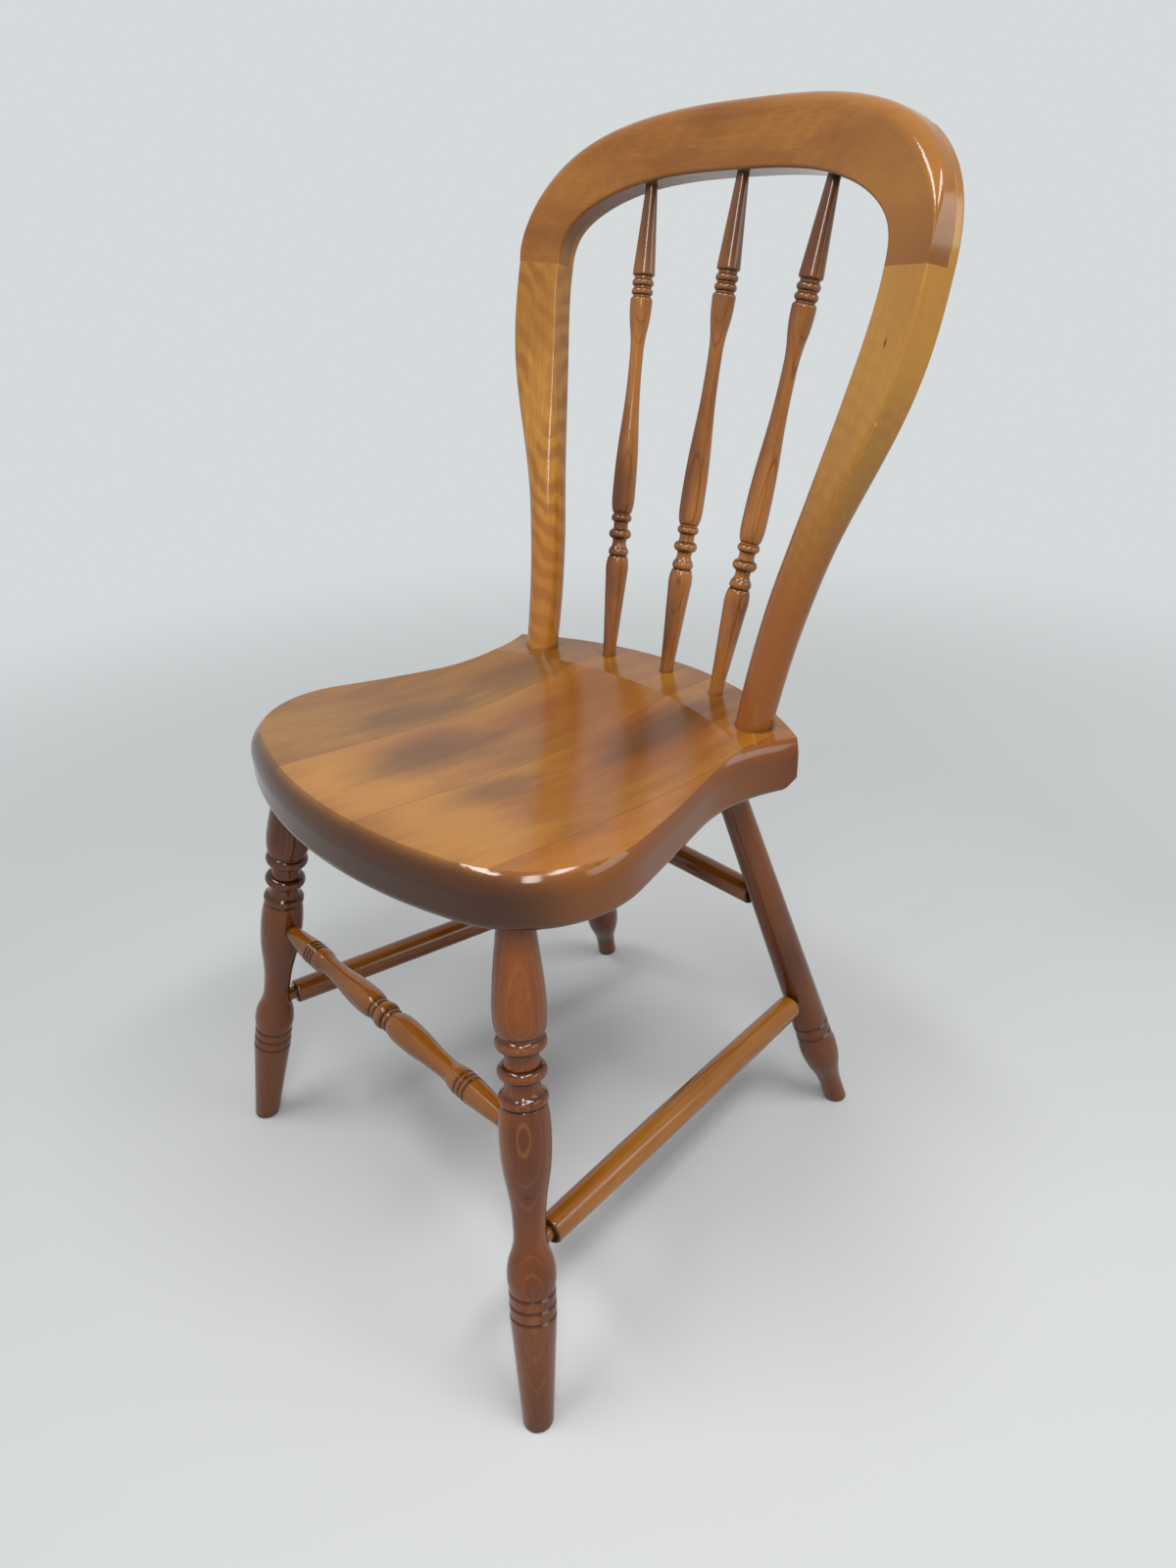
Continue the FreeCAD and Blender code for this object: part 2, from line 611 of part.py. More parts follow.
def spindle_turning(length):
    """One back spindle: foot cone, three collars, long vase, two rings and a tapered cap."""
    foot = SPINDLE_FOOT_DIAMETER / 2
    head = SPINDLE_HEAD_DIAMETER / 2
    neck = SPINDLE_NECK_DIAMETER / 2
    collar = SPINDLE_COLLAR_DIAMETER / 2
    ring = SPINDLE_RING_DIAMETER / 2
    groove = ring - 1.6
    lip = 2.0
    shape = Turning(-SPINDLE_FOOT_TENON, foot)
    shape.line(lip, foot)
    shape.line(SPINDLE_CONE_LENGTH, SPINDLE_CONE_DIAMETER / 2)

    # Collars: a flared one, a sharp one and a plain ring, with necks between
    at = SPINDLE_CONE_LENGTH + 0.75 * SPINDLE_COLLAR_PITCH
    shape.close_in(at, groove)
    shape.bead(at + 6.5, collar - 1.9, 1.2)
    at += SPINDLE_COLLAR_PITCH
    shape.bead(at, neck, -1.2)
    shape.line(at + 0.8, neck + 1.6)
    shape.bead(at + 8.0, neck + 1.6, collar - neck - 1.6)
    at += SPINDLE_COLLAR_PITCH
    shape.line(at - 6.0, neck)
    shape.bead(at, neck, -0.3)
    shape.line(at + 0.5, groove)
    shape.bead(at + 6.5, groove, ring - groove)
    at += 8.0
    shape.line(at, groove)

    shape.open_out(at + SPINDLE_COLLAR_PITCH, SPINDLE_VASE_DIAMETER / 2)
    shape.ogee(length - SPINDLE_WAIST_DROP, SPINDLE_WAIST_DIAMETER / 2)
    at = length - SPINDLE_CAP_LENGTH - 3 * SPINDLE_RING_PITCH
    shape.ogee(at, SPINDLE_FLARE_DIAMETER / 2)
    shape.close_in(at + 2.4, groove)
    for count in range(2):
        at += SPINDLE_RING_PITCH
        shape.line(at - 3.2, groove)
        shape.bead(at + 2.6, groove, ring - groove)
    at += SPINDLE_RING_PITCH
    shape.line(at - 2.2, groove)
    shape.open_out(at, SPINDLE_FLARE_DIAMETER / 2)
    shape.line(length - lip, head)
    shape.line(length + SPINDLE_HEAD_TENON, head)
    return shape


def build_spindle(place):
    """A spindle in its place, with the tools that bore its two sockets."""
    foot, head = spindle_line(place)
    axis = (head - foot).normalize()
    length = (head - foot).Length
    spindle = along_axis(spindle_turning(length).solid(), foot, axis)
    spare = 1.0
    foot_diameter = SPINDLE_FOOT_DIAMETER + 2 * GLUE_GAP
    head_diameter = SPINDLE_HEAD_DIAMETER + 2 * GLUE_GAP
    foot_socket = rod(foot - axis * (SPINDLE_FOOT_TENON + spare), foot + axis * REACH / 3, foot_diameter)
    head_socket = rod(head - axis * REACH / 3, head + axis * (SPINDLE_HEAD_TENON + spare), head_diameter)
    return spindle, foot_socket, head_socket


def front_leg_turning(length):
    """Front leg from the sole up: ankle with grooves, calf, shin, knee, collar, rings and vase."""
    neck = FRONT_NECK_DIAMETER / 2
    disc = FRONT_DISC_DIAMETER / 2
    ring = FRONT_RING_DIAMETER / 2
    collar = FRONT_COLLAR_DIAMETER / 2
    ankle = FRONT_ANKLE_DIAMETER / 2
    sole = FRONT_SOLE_DIAMETER / 2
    # The blank's taper runs on below the floor, where the sole is sawn off level
    taper = (ankle - sole) / FRONT_ANKLE_HEIGHT
    shape = Turning(-sole, sole - taper * sole)
    shape.line(FRONT_ANKLE_HEIGHT, ankle)
    for count in range(3):
        shape.groove(FRONT_ANKLE_HEIGHT + GROOVE_WIDTH + FRONT_GROOVE_PITCH * count)
    shape.ogee(FRONT_CALF_HEIGHT, FRONT_CALF_DIAMETER / 2)
    shape.ogee(FRONT_SHIN_HEIGHT, FRONT_SHIN_DIAMETER / 2)
    shape.ogee(length - FRONT_KNEE_DROP, FRONT_KNEE_DIAMETER / 2)

    at = length - FRONT_COLLAR_DROP
    half = FRONT_COLLAR_LENGTH / 2
    shape.close_in(at - half, collar - 2.2)
    shape.bead(at + half, collar - 1.6, 2.0)
    at = length - FRONT_RING_DROP
    half = FRONT_RING_LENGTH / 2
    shape.bead(at - half - BEAD_FILLET / 2, neck + 0.4, -1.7)
    shape.line(at - half, neck + 0.4)
    shape.bead(at + half, neck, ring - neck)
    at = length - FRONT_DISC_DROP
    half = FRONT_DISC_LENGTH / 2
    shape.bead(at - half - 0.2, neck, -0.5)
    shape.line(at - half, disc - BEAD_FILLET)
    shape.bead(at + half, disc - BEAD_FILLET, BEAD_FILLET)
    shape.line(at + half + 1.5, disc - BEAD_FILLET)
    shape.open_out(length - FRONT_VASE_DROP, FRONT_VASE_DIAMETER / 2)
    top = FRONT_TOP_DIAMETER / 2
    shoulder = shape.point(length - 0.75 * FRONT_VASE_DROP, FRONT_VASE_DIAMETER / 2)
    neck_in = shape.point(length - 0.4 * FRONT_VASE_DROP, 0.6 * top + 0.2 * FRONT_VASE_DIAMETER)
    shape.bezier(length, top, shoulder, neck_in)
    return shape.line(length + REACH / 3, top)


def rear_leg_turning(length):
    """Rear leg from the sole up: small foot, ankle, two grooves and a long plain taper."""
    shape = Turning(-REACH / 4, REAR_SOLE_DIAMETER / 2)
    shape.line(REAR_FOOT_HEIGHT, REAR_SOLE_DIAMETER / 2)
    shape.ogee(REAR_ANKLE_HEIGHT, REAR_ANKLE_DIAMETER / 2)
    shape.ogee(REAR_GROOVE_HEIGHT - GROOVE_WIDTH, REAR_CALF_DIAMETER / 2)
    for count in range(2):
        shape.groove(REAR_GROOVE_HEIGHT + REAR_GROOVE_PITCH * count)
    shape.line(length, REAR_TOP_DIAMETER / 2)
    return shape.line(length + REACH / 3, REAR_TOP_DIAMETER / 2)


class Leg:
    """A right-hand leg: its axis, its turning and the finished solid before the stretchers."""

    def __init__(self, foot, top, turning):
        self.foot = foot
        self.top = top
        self.axis = (top - foot).normalize()
        self.turning = turning((top - foot).Length)
        body = along_axis(self.turning.solid(), foot, self.axis)
        side = 2 * REACH
        body = body.cut(Part.makeBox(side, side, REACH, foot - Vector(side / 2, side / 2, REACH)))
        body = body.cut(seat_slab(-SEAT_THICKNESS - GLUE_GAP, REACH))
        sole = [edge for edge in body.Edges if edge.BoundBox.ZMax < GLUE_GAP]
        body = body.makeFillet(FOOT_ROUND, sole)
        tip = top + self.axis * LEG_TENON_LENGTH
        self.solid = body.fuse(rod(top - self.axis * REACH / 3, tip, LEG_TENON_DIAMETER))

    def at_height(self, height):
        return self.foot + self.axis * (height / self.axis.z)

    def socket_in_seat(self):
        spare = 1.0
        tip = self.top + self.axis * (LEG_TENON_LENGTH + spare)
        return rod(self.top - self.axis * REACH / 3, tip, LEG_TENON_DIAMETER + 2 * GLUE_GAP)

    def bore(self, centre, outward):
        """Bore a stretcher's socket, from just past the axis out through the side."""
        spare = 1.0
        start = centre - outward * (STRETCHER_TENON_PAST_AXIS + spare)
        tool = rod(start, centre + outward * REACH / 2, STRETCHER_TENON_DIAMETER + 2 * GLUE_GAP)
        self.solid = self.solid.cut(tool)

    def shoulder_distance(self, centre, outward, end_diameter):
        """How far from the axis a square shoulder has to stay to clear the leg."""
        half = end_diameter / 2
        height = (centre - self.foot).Length
        lean = abs(outward.dot(self.axis))
        widest = self.turning.widest(height - half, height + half)
        return (widest + half * lean) / math.sqrt(1 - lean**2) + SHOULDER_CLEARANCE


def plain_stretcher(length, diameter, end_diameter, start_shoulder, end_shoulder):
    """A rod that swells a little in the middle, with rounded shoulders and a tenon at each end."""
    tenon = STRETCHER_TENON_DIAMETER / 2
    shoulder = end_diameter / 2
    shape = Turning(-STRETCHER_TENON_PAST_AXIS, tenon)
    shape.line(start_shoulder, tenon)
    shape.line(start_shoulder, shoulder - STRETCHER_END_ROUND)
    shape.open_out(start_shoulder + STRETCHER_END_ROUND, shoulder)
    swell = (diameter - end_diameter) / 2
    shape.bead(length - end_shoulder - STRETCHER_END_ROUND, shoulder, swell)
    shape.close_in(length - end_shoulder, shoulder - STRETCHER_END_ROUND)
    shape.line(length - end_shoulder, tenon)
    shape.line(length + STRETCHER_TENON_PAST_AXIS, tenon)
    return shape.solid()


def turned_stretcher(half_length, shoulder_distance):
    """The front stretcher from its middle bead out to one tenon, then mirrored."""
    neck = BOBBIN_NECK_DIAMETER / 2
    cuff = BOBBIN_CUFF_DIAMETER / 2
    tenon = STRETCHER_TENON_DIAMETER / 2
    end = BOBBIN_END_DIAMETER / 2
    shape = Turning(0, BOBBIN_BEAD_DIAMETER / 2)
    shape.close_in(BOBBIN_BEAD_LENGTH / 2, neck)
    ring_start = BOBBIN_BEAD_LENGTH / 2 + 1.0
    shape.line(ring_start, neck)
    ring_end = ring_start + BOBBIN_RING_LENGTH
    shape.bead(ring_end, neck, BOBBIN_RING_DIAMETER / 2 - neck)
    shape.line(ring_end + 1.0, neck)
    shape.open_out(BOBBIN_VASE_OFFSET, BOBBIN_VASE_DIAMETER / 2)
    shape.ogee(BOBBIN_WAIST_OFFSET, BOBBIN_WAIST_DIAMETER / 2)
    shape.ogee(BOBBIN_CUFF_OFFSET, cuff)
    for count in range(3):
        shape.groove(BOBBIN_CUFF_OFFSET + GROOVE_WIDTH * (1 + 1.6 * count))
    shoulder = half_length - shoulder_distance
    shape.line(shoulder - STRETCHER_END_ROUND, end)
    shape.line(shoulder, tenon)
    shape.line(half_length + STRETCHER_TENON_PAST_AXIS, tenon)
    return shape.solid(symmetric=True)


def build_legs():
    front = Leg(
        Vector(FOOT_FRONT_SPREAD / 2, -FOOT_FRONT_REACH, 0),
        on_seat(LEG_FRONT_TOP_SPREAD / 2, LEG_FRONT_TOP_SETBACK, -SEAT_THICKNESS),
        front_leg_turning,
    )
    rear = Leg(
        Vector(FOOT_REAR_SPREAD / 2, FOOT_LENGTH - FOOT_FRONT_REACH, 0),
        on_seat(LEG_REAR_TOP_SPREAD / 2, LEG_REAR_TOP_SETBACK, -SEAT_THICKNESS),
        rear_leg_turning,
    )
    return front, rear


def build_cross_stretcher(leg, height, end_diameter, make):
    """A stretcher that runs straight across between a leg and its mirror image."""
    inward = Vector(-1, 0, 0)
    centre = leg.at_height(height)
    distance = leg.shoulder_distance(centre, inward, end_diameter)
    leg.bore(centre, inward)
    return along_axis(make(centre.x, distance), Vector(0, centre.y, centre.z), X_AXIS)


def build_side_stretcher(front, rear):
    """The right-hand stretcher, from front leg to rear leg."""
    start = front.at_height(SIDE_STRETCHER_FRONT_HEIGHT)
    end = rear.at_height(SIDE_STRETCHER_REAR_HEIGHT)
    run = (end - start).normalize()
    start_shoulder = front.shoulder_distance(start, run, SIDE_STRETCHER_END_DIAMETER)
    end_shoulder = rear.shoulder_distance(end, -run, SIDE_STRETCHER_END_DIAMETER)
    front.bore(start, run)
    rear.bore(end, -run)
    length = (end - start).Length
    sizes = (SIDE_STRETCHER_DIAMETER, SIDE_STRETCHER_END_DIAMETER, start_shoulder, end_shoulder)
    return along_axis(plain_stretcher(length, *sizes), start, run)


def rear_rod(half_length, shoulder_distance):
    rod_solid = plain_stretcher(
        2 * half_length,
        REAR_STRETCHER_DIAMETER,
        REAR_STRETCHER_END_DIAMETER,
        shoulder_distance,
        shoulder_distance,
    )
    rod_solid.translate(Vector(0, 0, -half_length))
    return Part.Solid(rod_solid)


def build_chair():
    """Every piece by name, in its place."""
    pieces = {}
    front_leg, rear_leg = build_legs()
    pieces["stretcher_front"] = build_cross_stretcher(
        front_leg, FRONT_STRETCHER_HEIGHT, BOBBIN_END_DIAMETER, turned_stretcher
    )
    pieces["stretcher_rear"] = build_cross_stretcher(
        rear_leg, REAR_STRETCHER_HEIGHT, REAR_STRETCHER_END_DIAMETER, rear_rod
    )
    pieces["stretcher_right"] = build_side_stretcher(front_leg, rear_leg)
    pieces["stretcher_left"] = mirrored(pieces["stretcher_right"])
    for name, leg in (("front", front_leg), ("rear", rear_leg)):
        pieces["leg_%s_right" % name] = leg.solid
        pieces["leg_%s_left" % name] = mirrored(leg.solid)

    sockets = []
    for leg in (front_leg, rear_leg):
        sockets += [leg.socket_in_seat(), mirrored(leg.socket_in_seat())]

    post, post_foot, post_along = build_post()
    pieces["back_post_right"] = post
    pieces["back_post_left"] = mirrored(post)
    spare = 1.0
    tip = post_foot - post_along * (POST_TENON_LENGTH + spare)
    post_socket = rod(tip, post_foot + post_along * REACH / 3, POST_TENON_DIAMETER + 2 * GLUE_GAP)
    sockets += [post_socket, mirrored(post_socket)]

    head_sockets = []
    for name, place in (("left", -1), ("centre", 0), ("right", 1)):
        spindle, foot_socket, head_socket = build_spindle(place)
        pieces["spindle_" + name] = spindle
        sockets.append(foot_socket)
        head_sockets.append(head_socket)
    pieces["crest_rail"] = build_crest(head_sockets)

    seat = build_seat()
    for socket in sockets:
        seat = seat.cut(socket)
    pieces.update(seat_boards(seat))
    return pieces


def main():
    os.makedirs("parts", exist_ok=True)
    pieces = build_chair()
    box = FreeCAD.BoundBox()
    for shape in pieces.values():
        box.add(shape.optimalBoundingBox(False, False))
    shift = Vector(-box.Center.x, -box.Center.y, -box.ZMin)
    for name, shape in sorted(pieces.items()):
        shape.translate(shift)
        solids = shape.Solids
        print(name, "solids", len(solids), "valid", shape.isValid(), "volume", round(shape.Volume))
        solid = solids[0] if len(solids) == 1 else shape
        solid.exportStep(os.path.join("parts", name + ".step"))
    print("box", round(box.XLength, 1), round(box.YLength, 1), round(box.ZLength, 1), "shift", shift)


main()
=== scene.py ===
# %% [markdown]
# # A balloon-back spindle chair, dressed
# The chair arrives as a packed model: four glued seat boards, two posts, a bowed crest, three spindles,
# four legs and four stretchers. Each is a closed mesh in metres, with its place in its vertices. The
# shapes are already those of the real chair, so nothing is remodelled here. This lesson gives each piece
# its own cut of timber under one glossy lacquer, then sets up a plain studio and a camera.

# %% Load the chair
import math

import bpy
import numpy as np
from mathutils import Matrix, Vector

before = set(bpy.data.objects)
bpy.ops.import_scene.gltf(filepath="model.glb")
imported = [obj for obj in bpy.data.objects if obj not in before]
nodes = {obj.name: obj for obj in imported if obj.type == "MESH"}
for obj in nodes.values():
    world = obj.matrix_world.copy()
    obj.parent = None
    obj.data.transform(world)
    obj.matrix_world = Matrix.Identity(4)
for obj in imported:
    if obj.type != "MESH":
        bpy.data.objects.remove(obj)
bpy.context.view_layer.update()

# %% [markdown]
# ## Sums with sockets
# A wood finish is mostly arithmetic: distances from the heart of the tree, counts of years, masks. Node
# by node that is hard to read, so one small class wraps a socket and lets Python's own operators add the
# Math nodes. Anything else, such as a noise or a colour mix, comes from the one method `node`. It takes
# the type, then the settings, then what goes into the sockets.

# %% The socket class
class Strand:
    """A socket of a shader tree that can be used in sums."""

    def __init__(self, tree, socket=None):
        self.tree = tree
        self.socket = socket

    def node(self, kind, settings=None, sockets=None, output=0):
        made = self.tree.nodes.new(kind)
        for name, value in (settings or {}).items():
            setattr(made, name, value)
        for name, value in (sockets or {}).items():
            if isinstance(value, Strand):
                self.tree.links.new(value.socket, made.inputs[name])
            else:
                made.inputs[name].default_value = value
        return Strand(self.tree, made.outputs[output]) if made.outputs else made

    def math(self, operation, first, second=0.0):
        return self.node("ShaderNodeMath", {"operation": operation}, {0: first, 1: second})

    def __add__(self, other):
        return self.math("ADD", self, other)

    __radd__ = __add__

    def __sub__(self, other):
        return self.math("SUBTRACT", self, other)

    def __rsub__(self, other):
        return self.math("SUBTRACT", other, self)

    def __mul__(self, other):
        return self.math("MULTIPLY", self, other)

    __rmul__ = __mul__

    def __truediv__(self, other):
        return self.math("DIVIDE", self, other)

    def __rtruediv__(self, other):
        return self.math("DIVIDE", other, self)

    def __pow__(self, other):
        return self.math("POWER", self, other)

    def __rpow__(self, other):
        return self.math("POWER", other, self)


print("operators", [name for name in vars(Strand) if name.startswith("__r")])

# %% [markdown]
# ## Small tools for patterns
# Five helpers carry every pattern below: a vector sum, a noise stretched by its own factors along each
# axis, a smooth step, a colour mix, and a vector's three numbers. A smooth step is better than a colour
# ramp for masks, because its two ends are plain numbers that can be read in the code.

# %% Pattern tools
def vector_sum(operation, first, second, output=0):
    """A Vector Math node."""
    return first.node("ShaderNodeVectorMath", {"operation": operation}, {0: first, 1: second}, output)


def noise(vector, waves, detail=2.0):
    """Soft noise, mostly between 0.3 and 0.7, with so many waves to the metre on each axis."""
    points = vector_sum("MULTIPLY", vector, waves)
    sockets = {"Vector": points, "Scale": 1.0, "Detail": detail}
    return vector.node("ShaderNodeTexNoise", {"noise_dimensions": "3D"}, sockets)


def ease(value, low, high):
    """0 below low, 1 above high and a smooth rise between."""
    settings = {"interpolation_type": "SMOOTHSTEP"}
    return value.node("ShaderNodeMapRange", settings, {"Value": value, "From Min": low, "From Max": high})


def blend(factor, first, second, mode="MIX"):
    """Two colours mixed by a factor; a plain colour is three numbers."""
    strand = next(value for value in (factor, first, second) if isinstance(value, Strand))
    colours = [value if isinstance(value, Strand) else (*value, 1) for value in (first, second)]
    settings = {"data_type": "RGBA", "blend_type": mode}
    return strand.node("ShaderNodeMix", settings, {0: factor, 6: colours[0], 7: colours[1]}, 2)


def parts_of(vector):
    """The three numbers of a vector."""
    return [vector.node("ShaderNodeSeparateXYZ", None, {"Vector": vector}, axis) for axis in "XYZ"]


print("pattern tools ready")

# %% [markdown]
# ## How the timber lies in each piece
# Grain follows the long way of a piece, because a maker cuts it so for strength. A turned leg leans, so
# its grain leans with it. The long way can be measured: it is the direction in which the vertices spread
# most, which a singular value decomposition gives. A second direction says which way the growth layers
# face. Together they make a small set of axes for each piece: side, face and along.

# %% Axes of the grain
def vertices_of(name):
    """A piece's vertices as rows of x, y and z."""
    mesh = nodes[name].data
    flat = np.empty(len(mesh.vertices) * 3)
    mesh.vertices.foreach_get("co", flat)
    return flat.reshape(-1, 3)


def long_way(name):
    """The middle of a piece and the direction of its longest spread, pointing up, back or right."""
    points = vertices_of(name)
    middle = (points.min(0) + points.max(0)) / 2
    spread = np.linalg.svd(points - points.mean(0), full_matrices=False)[2][0]
    return Vector(middle), Vector(spread * np.sign(spread[np.argmax(np.abs(spread))]))


def grain_of(name, facing, along=None):
    """The place and turn of a piece's timber: X to the side, Y as the growth layers face, Z along."""
    middle, axis = long_way(name)
    if along:
        axis = Vector(along).normalized()
    face = Vector(facing)
    face = (face - axis * face.dot(axis)).normalized()
    turn = Matrix((face.cross(axis), face, axis)).transposed()
    return middle, turn.to_euler("XYZ"), axis


for name in ("leg_front_right", "stretcher_left", "spindle_centre"):
    print(name, "grain runs", [round(v, 3) for v in long_way(name)[1]])

# %% [markdown]
# ## Growth lines
# In a close-grained hardwood each year ends in a thin line. Lines painted on the surface would slide over
# the turned shapes, so the years are solid rings about a heart that lies outside the piece, as in a real
# billet. Where a turned swelling cuts through them, the nested drops and arrowheads of real turnings
# appear by themselves. Each year has its own strength, because some years are dry and some are wet.

# %% Growth lines
def growth_lines(timber, gap, heart, aside, run_out, seed):
    """1 on the line that ends a year and 0 between lines."""
    side, face, along = parts_of(timber)
    wander = (noise(timber, (14, 14, 5)) - 0.5) * 0.012
    across = side + wander + aside
    depth = face + wander + along * run_out + heart
    years = (across * across + depth * depth) ** 0.5 / gap
    year = years.math("FLOOR", years)
    within = years - year
    strength = year.node("ShaderNodeTexWhiteNoise", {"noise_dimensions": "1D"}, {"W": year + seed})
    # A line rises late in the year and drops off sharply at its end
    line = ease(within, 0.8, 0.92) * (1 - ease(within, 0.95, 1.0))
    return line * (0.35 + 0.65 * strength)


print("growth lines ready")

# %% [markdown]
# ## Curl
# Curly timber has fibres that grew in waves, so a planed face shows bands across the grain that catch the
# light. A sine along the grain gives the bands. A slant tips them over, a slow noise bends them, and a
# patchy noise lets them fade in and out, because curl is never even along a board.

# %% Curl
def curl_bands(timber, pitch, slant):
    """Soft dark bands across the grain, from 0 to 1."""
    side, face, along = parts_of(timber)
    bend = noise(timber, (26, 26, 13)) * pitch * 2.6
    turns = (along + side * slant + bend) * (2 * math.pi / pitch)
    wave = turns.math("SINE", turns) * 0.5 + 0.5
    patch = ease(noise(timber, (20, 20, 11)), 0.42, 0.58)
    return ease(wave, 0.1, 0.9) * (0.2 + 0.8 * patch)


print("curl ready")

# %% [markdown]
# ## Spots and stains
# Timber has knots, mineral stains and marks of use. Each is a soft ellipsoid round a point on the chair.
# A stain's edge is broken up with noise that is long in the grain, so it reads as colour in the wood.

# %% Spots
def spot(position, place, reach, ragged=0.0):
    """1 at a place on the chair, fading to 0 at a distance that may differ on each axis."""
    away = vector_sum("DIVIDE", vector_sum("SUBTRACT", position, place), reach)
    distance = vector_sum("LENGTH", away, (0, 0, 0), "Value")
    if ragged:
        distance = distance + (noise(position, (90, 14, 90), 3.0) - 0.5) * ragged
    return 1 - ease(distance, 0.25, 1.0)


print("spots ready")

# %% [markdown]
# ## Toned wood under lacquer
# The maker sprayed a brown toner over pale wood and then a clear gloss. The wood takes the colour
# unevenly: clouds along the board, fine fibres, short dark flecks, and end grain that drinks much more
# than side grain. In use, dark wax and dust gather in every groove and round every joint, and sharp
# edges rub pale. The Ambient Occlusion node finds both from the shapes themselves, so nothing has to be
# marked by hand. Looking outward it finds the grooves and joints, and darkens them as grime and also as
# painted shade. Looking inward it finds the edges, and lightens them as rubbed wear and also as painted
# highlight. On the seat only the faces that look up are rubbed pale. The others keep the deep tone, which
# is also painted shade on every face that does not look up, and more of the gloss.
#
# The gloss is the shader's own reflection rather than a coat, because its roughness can then vary: a
# little handled here and there, and never as perfect as glass. A very weak bump leaves the slight waves
# of a sprayed film in the reflections.

# %% The finish
# The dark tone for grooves and joints: grime, and also painted shade
GRIME_AND_SHADE_TONE = (0.02, 0.008, 0.003)
GROOVE_REACH = 0.007
EDGE_REACH = 0.0025
END_GRAIN_SHARE = 0.35
# How far the rubbed edges lighten: rubbed wear, and also painted highlight
RUBBED_AND_HIGHLIGHT_SHARE = 1.25
KEPT_GLOSS = 0.07
FILM_WAVES = 0.0003


def lacquered_timber(name, grain, tones, gap, heart, aside=0.0, run_out=0.0, *, lines, seed, even=0.5,
                     curl=None, end=0.85, worn_and_shaded=0.0, film=0.12, stains=(), grime_and_shade=0.8, wear_and_highlight=0.3):
    """A material for one piece.

    Tones are the deep, middle, bright and line colours. Gap is the width of a year, and heart, aside and
    run_out say where the heart of the tree lies. Film is the roughness of the lacquer. The remaining
    numbers are strengths from 0 to 1: for the growth lines, for evenness, for end grain, for the seat's
    worn top with painted shade on the faces that do not look up, for grime with painted shade in grooves
    and joints, and for rubbed edges with painted highlight. A stain has a place, a reach on each axis, a
    colour, a strength and a number for how ragged its edge is.
    """
    deep, middle, bright, line_tone = tones
    place, turn, axis = grain
    material = bpy.data.materials.new(name)
    material.use_nodes = True
    tree = material.node_tree
    shader = tree.nodes["Principled BSDF"]
    start = Strand(tree)

    position = start.node("ShaderNodeTexCoord", output="Object")
    sockets = {"Vector": position, "Location": place, "Rotation": turn}
    local = start.node("ShaderNodeMapping", {"vector_type": "TEXTURE"}, sockets)
    timber = vector_sum("ADD", local, (0, 0, seed))

    # Clouds of colour, growth lines, fibres and flecks
    cloud = noise(timber, (22, 22, 6), 3.0)
    tone = blend(ease(cloud, 0.34, 0.66), deep, bright)
    tone = blend(even, tone, middle)
    line = growth_lines(local, gap, heart, aside, run_out, seed)
    tone = blend(line * lines, tone, line_tone)
    fibre = noise(timber, (820, 820, 16), 3.0)
    tone = blend(1.0, tone, 0.7 + fibre * 0.6, "MULTIPLY")
    fleck = ease(noise(timber, (1500, 1500, 130)), 0.6, 0.7)
    tone = blend(fleck * 0.4, tone, deep)
    if curl:
        strength, pitch, slant = curl
        tone = blend(curl_bands(timber, pitch, slant) * strength, tone, deep)

    # Stains, the seat's worn top with painted shade on the other faces, end grain, grime with painted
    # shade, and rubbed edges with painted highlight
    for where, reach, colour, strength, ragged in stains:
        tone = blend(spot(position, where, reach, ragged) * strength, tone, colour)
    normal = start.node("ShaderNodeNewGeometry", output="Normal")
    # Faces that do not look up keep the deep tone, which is painted shade, while the top is rubbed pale
    if worn_and_shaded:
        upward = parts_of(normal)[2]
        tone = blend((1 - ease(upward, 0.5, 0.95)) * worn_and_shaded, tone, deep)
    facing = vector_sum("DOT_PRODUCT", normal, axis, "Value")
    sawn = ease(facing.math("ABSOLUTE", facing), 0.2, 0.8)
    tone = blend(sawn * end, tone, [END_GRAIN_SHARE * v for v in deep])
    # Grooves and joints that are hidden from the air darken: grime, and also painted shade
    open_air = start.node("ShaderNodeAmbientOcclusion", {"samples": 6}, {"Distance": GROOVE_REACH}, "AO")
    tone = blend((1 - ease(open_air, 0.45, 0.85)) * grime_and_shade, tone, GRIME_AND_SHADE_TONE)
    # Edges lighten: rubbed wear, and also painted highlight
    settings = {"samples": 6, "inside": True, "only_local": True}
    solid = start.node("ShaderNodeAmbientOcclusion", settings, {"Distance": EDGE_REACH}, "AO")
    tone = blend((1 - ease(solid, 0.3, 0.75)) * wear_and_highlight, tone, [RUBBED_AND_HIGHLIGHT_SHARE * v for v in bright])
    tree.links.new(tone.socket, shader.inputs["Base Color"])

    # The lacquer film
    handled = ease(noise(position, (34, 34, 34), 3.0), 0.4, 0.7)
    rough = handled * 0.05 + fibre * 0.05 + (film - 0.03)
    if worn_and_shaded:
        rough = rough - (1 - ease(upward, 0.8, 0.99)) * KEPT_GLOSS
    tree.links.new(rough.socket, shader.inputs["Roughness"])
    waves = noise(position, (42, 42, 42)) - fleck * 0.05
    bump = start.node("ShaderNodeBump", None, {"Strength": 0.25, "Distance": FILM_WAVES, "Height": waves})
    tree.links.new(bump.socket, shader.inputs["Normal"])
    return material


def dress(name, material):
    """Put a material in the slot that a piece came with."""
    nodes[name].material_slots[0].material = material


print("finish ready")

# %% [markdown]
# ## Seat boards
# The seat is glued up from boards that lie side by side, with the grain from front to back. Each board
# came from its own plank, so each gets its own tones, its own heart and its own seed. Dark smoky mineral
# stains run in the grain of three of them, and the two in the middle have a reddish heart and a paler
# front. A thin dark glue line shows where two boards meet. The front edge is end grain, so it comes out
# much darker than the top. The top has been polished by use, and its reflections are softer than those
# of the turnings. A small dent near the right edge is a mark of use.

